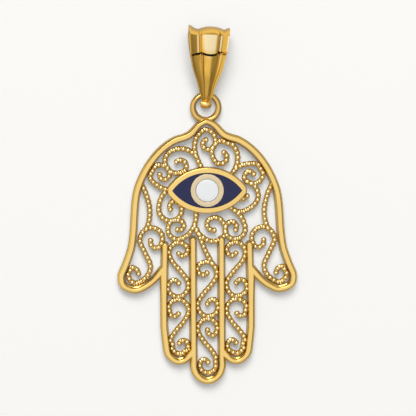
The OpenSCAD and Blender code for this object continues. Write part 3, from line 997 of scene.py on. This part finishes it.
# A column: its place across the leaf and its rise on the panel, then both on the slope.
flute_table = [
    (-1.00, 1.15, -1.00, 0.95), (-0.965, 1.22, -0.97, 1.00), (-0.93, 1.15, -0.94, 0.93),
    (-0.90, 1.02, -0.91, 0.78), (-0.80, 0.70, -0.80, 0.48), (-0.70, 0.38, -0.65, 0.22),
    (-0.635, 0.20, -0.50, 0.04), (-0.61, 0.16, -0.43, 0.02), (-0.54, 0.16, -0.40, 0.20),
    (-0.515, 0.04, -0.37, 0.34), (-0.49, 0.14, -0.345, 0.32), (-0.465, 0.32, -0.33, 0.16),
    (-0.435, 0.38, -0.31, 0.18), (-0.41, 0.60, -0.29, 0.50), (-0.385, 0.84, -0.265, 0.78),
    (-0.36, 0.90, -0.24, 0.85), (-0.15, 0.95, -0.08, 0.90), (0.08, 0.97, 0.08, 0.93),
    (0.30, 0.95, 0.20, 0.90), (0.44, 0.88, 0.30, 0.66), (0.475, 0.76, 0.42, 0.42),
    (0.495, 0.36, 0.53, 0.22), (0.515, 0.00, 0.585, 0.00), (0.54, 0.04, 0.61, 0.04),
    (0.56, 0.24, 0.63, 0.34), (0.61, 0.26, 0.66, 0.40), (0.655, 0.22, 0.76, 0.40),
    (0.68, 0.08, 0.80, 0.34), (0.72, 0.14, 0.83, 0.40), (0.80, 0.36, 0.88, 0.48),
    (0.87, 0.54, 0.93, 0.56), (0.92, 0.66, 0.96, 0.64), (1.00, 0.66, 1.00, 0.64),
]
long, high = bail_l - flute_h, bail_h - flute_h


def between_rows(rows, count):
    """More rows between those of a table, on a smooth way through them."""
    found = []
    for i in range(len(rows) - 1):
        four = [rows[min(max(k, 0), len(rows) - 1)] for k in range(i - 1, i + 3)]
        for t in (k / count for k in range(count)):
            found.append([
                0.5 * (2 * q + (r - p) * t + (2 * p - 5 * q + 4 * r - s) * t ** 2
                       + (3 * q - p - 3 * r + s) * t ** 3)
                for p, q, r, s in zip(*four)
            ])
    return found + [list(rows[-1])]


panel_row = knee_row + trench_rows
slope_rows = between_rows(bail_table[:knee_row], 3)
panel_rows = between_rows(bail_table[panel_row:crest_row + 1], 4)
end_rows = between_rows(bail_table[crest_row:], 3)[1:]
bail_rows = slope_rows + bail_table[knee_row:panel_row] + panel_rows + end_rows
print(len(bail_rows), "rows along the bail and", len(flute_table), "columns across it")

# %% The knee, the flutes and the far end
knee_at, knee_reach, panel_from = 0.702, 0.14, 0.7
left_horn, right_horn, arch_from, arch_over = -0.5, 0.7, 0.93, 0.05


def between_0_and_1(value):
    return min(1, max(0, value))


def hump(column, middle, half):
    """1 in the middle, falling to 0 at both sides."""
    return max(0, 1 - ((column - middle) / half) ** 2)


def knee_pull(column, along):
    """How far the knee's step is drawn along the leaf: an arc, and lower in the left flute."""
    near = max(0, 1 - abs(along - knee_at) / knee_reach)
    left = between_0_and_1((-0.4 - column) / 0.15)
    return near * (0.12 - 0.2 * hump(column, 0.08, 0.45) - 0.24 * left)


def flute(i, j):
    """Place and rise of a flute: one drawing on the panel, another on the slope."""
    panel_place, panel_rise, slope_place, slope_rise = flute_table[j]
    on_panel = bail_rows[i][0] > panel_from
    return (panel_place, panel_rise) if on_panel else (slope_place, slope_rise)


def end_rise(column, rise, along):
    """The flutes' rise, which turns into one arch between the two horns at the leaf's far end."""
    if not left_horn < column < right_horn:
        return rise
    arch = 0.2 + 0.75 * hump(column, 0.1, 0.6)
    return rise + between_0_and_1((along - arch_from) / arch_over) * (arch - rise)


# %% The bail's grid of points
upper = [Vector((r[0] * long, r[1] * high)) for r in bail_rows]
lower = [Vector((r[2] * long, r[3] * high)) for r in bail_rows]
foot_end, inner_start = 0.09, 0.35


def across(i, j):
    return flute(i, j)[0] * bail_rows[i][4] * bail_w / 2


def outer_point(i, j):
    row, (column, rise) = bail_rows[i], flute(i, j)
    rise = end_rise(column, rise, row[0])
    at = upper[i] + flute_h * max(0, row[5]) * rise * left_of(upper, i)
    crown = 0.2 * max(0, 1 - row[0] / foot_end) * column ** 2
    return Vector((column * row[4] * bail_w / 2, at.x + knee_pull(column, row[0]), at.y - crown))


def under_point(i, j):
    return Vector((across(i, j), lower[i].x, max(0, lower[i].y)))


def inner_upper(i, j):
    at = upper[i] - leaf_t * left_of(upper, i)
    return Vector((across(i, j), max(at.x, inner_start), max(at.y, leaf_t + 0.05)))


def inner_under(i, j):
    at = lower[i] + leaf_t * left_of(lower, i)
    return Vector((across(i, j), max(at.x, inner_start), max(at.y, leaf_t)))


# %% The bail's leaf
maker = bmesh.new()
rows, columns = range(len(bail_rows)), range(len(flute_table))


def folded_grid(over, under):
    """Points up the leaf and back down beneath it, a row of columns at a time."""
    grid = [[maker.verts.new(over(i, j)) for j in columns] for i in rows]
    return grid + [[maker.verts.new(under(i, j)) for j in columns] for i in rows[::-1]]


outer_grid = folded_grid(outer_point, under_point)
inner_grid = folded_grid(inner_upper, inner_under)
for k in range(len(outer_grid)):
    m = (k + 1) % len(outer_grid)
    outer, outer_next = outer_grid[k], outer_grid[m]
    inner, inner_next = inner_grid[k], inner_grid[m]
    for j in columns[:-1]:
        maker.faces.new((outer[j], outer[j + 1], outer_next[j + 1], outer_next[j]))
        maker.faces.new((inner[j], inner_next[j], inner_next[j + 1], inner[j + 1]))
    for j in (columns[0], columns[-1]):
        wall = (outer[j], outer_next[j], inner_next[j], inner[j])
        maker.faces.new(wall if j == 0 else wall[::-1])
bail_leaf = piece_of("bail_leaf", maker)
bail_place = Matrix.Translation((ring_side, foot_y + low_y, 0)) @ Matrix.Rotation(-lean, 4, "Z")
bail_leaf.matrix_world = bail_place
placed_for_good(bail_leaf)
whole_mesh_open(bail_leaf)
bpy.ops.mesh.remove_doubles(threshold=0.002)
bpy.ops.mesh.dissolve_degenerate(threshold=0.002)
bpy.ops.object.mode_set(mode="OBJECT")
edge_angle = math.radians(55)
applied(bail_leaf, "BEVEL", width=0.035, segments=2, limit_method="ANGLE", angle_limit=edge_angle)
finished(bail_leaf, "bail", bail_gold, angle=28)

# %% The seam at the knee, painted black as its shadow
knee_half_w, trench_from, trench_to = 0.872 * bail_w / 2, 0.686, 0.7165
to_leaf = bail_place.inverted()
bail_leaf.data.materials.append(seam_shadow_paint)
seam_faces = 0
for face in bail_leaf.data.polygons:
    spot = to_leaf @ (face.center * 1000)
    column = spot.x / knee_half_w
    along = (spot.y - knee_pull(column, panel_from)) / long
    in_trench = trench_from < along < trench_to and spot.z > high * 0.6
    in_middle, in_left_flute = -0.33 < column < 0.56, -0.95 < column < -0.5
    if in_trench and (in_middle or in_left_flute):
        face.material_index = 1
        seam_faces += 1
print(seam_faces, "faces lie in the seam")

# %% [markdown]
# ## The enamels
# Enamel is glass that was melted into its cup, ground level and fired once more, which rounds its
# edges a little and leaves it faintly wavy. The navy is slightly mottled, because the pigment
# settles unevenly. The ring round the pupil is a pale gold enamel, a little uneven in tone, and the
# white is milky.

# %% The enamels
def enamel_paint(name, color, second, rough, size, strength=0.6):
    """Glossy glass of two colours that run into each other, with painted shade in its corners."""
    paint, tree, surface = new_paint(name)
    cloud = placed(tree, metal_tone, Size=size, Strength=strength)
    marks = placed(tree, polish_marks, Size=3000.0, Rough=rough, Spread=0.05)
    corners = placed(tree, painted_corner_shade, Reach=0.00012, Depth=0.8)
    body = mixed_color(tree, cloud["Mask"], color, second)
    # Painted shade: in its corners the enamel turns a quarter as bright as its second colour.
    shade = mixed_color(tree, corners["Mask"], body, tuple(c * 0.25 for c in second))
    feed(tree, surface, {
        "Base Color": shade, "Roughness": marks["Roughness"], "Specular IOR Level": 0.45,
    })
    add_relief(tree, surface, cloud["Mask"], 0.15)
    return paint


navy = enamel_paint("navy_enamel", (0.001, 0.004, 0.05), (0.012, 0.018, 0.085), 0.12, 2500.0, 0.9)
milky = enamel_paint("milky_enamel", (0.91, 0.93, 0.92), (0.84, 0.88, 0.88), 0.1, 900.0)
pale_gold = enamel_paint(
    "pale_gold_enamel", (0.84, 0.69, 0.44), (0.75, 0.59, 0.365), 0.15, 1500.0, 0.7,
)
print("enamels:", [paint.name for paint in (navy, milky, pale_gold)])

# %% The navy enamel
hole_r = (pupil_d + 2 * inlay_gap) / 2
enamel_low, edge_z = cup_floor + inlay_gap, enamel_top - 0.03
hole = [(round_ring(hole_r), enamel_low), (round_ring(hole_r), edge_z),
        (round_ring(hole_r + 0.02), enamel_top)]
edge = [(oval_ring(-inlay_gap - 0.02), enamel_top), (oval_ring(-inlay_gap), edge_z),
        (oval_ring(-inlay_gap), enamel_low)]
maker = bmesh.new()
ring_stack(maker, hole + edge + hole[:1])
eye_blue = piece_of("eye_blue", maker)
finished(eye_blue, "blue_enamel", navy)

# %% The ring round the pupil
ring_out, ring_in, ring_edge = pupil_d / 2, pupil_d / 2 - pupil_w, enamel_top - 0.04
profile = [
    (ring_out, enamel_low), (ring_out, ring_edge), (ring_out - 0.012, enamel_top - 0.012),
    (ring_out - 0.04, enamel_top), (ring_in + 0.04, enamel_top),
    (ring_in + 0.012, enamel_top - 0.012), (ring_in, ring_edge), (ring_in, enamel_low),
    (ring_out, enamel_low),
]
maker = bmesh.new()
ring_stack(maker, [(round_ring(r), z) for r, z in profile])
pupil_ring = piece_of("eye_pupil_ring", maker)
finished(pupil_ring, "pupil_ring", pale_gold)

# %% The white of the pupil
disc_r = (pupil_d - 2 * pupil_w - 2 * inlay_gap) / 2
profile = [
    (disc_r, enamel_low), (disc_r, enamel_top - 0.05), (disc_r - 0.015, enamel_top - 0.025),
    (disc_r - 0.06, enamel_top - 0.01), (disc_r * 0.6, enamel_top - 0.003),
    (disc_r * 0.2, enamel_top),
]
maker = bmesh.new()
made = ring_stack(maker, [(round_ring(r), z) for r, z in profile])
maker.faces.new(made[-1])
maker.faces.new(made[0])
white = piece_of("eye_white", maker)
finished(white, "white_enamel", milky)
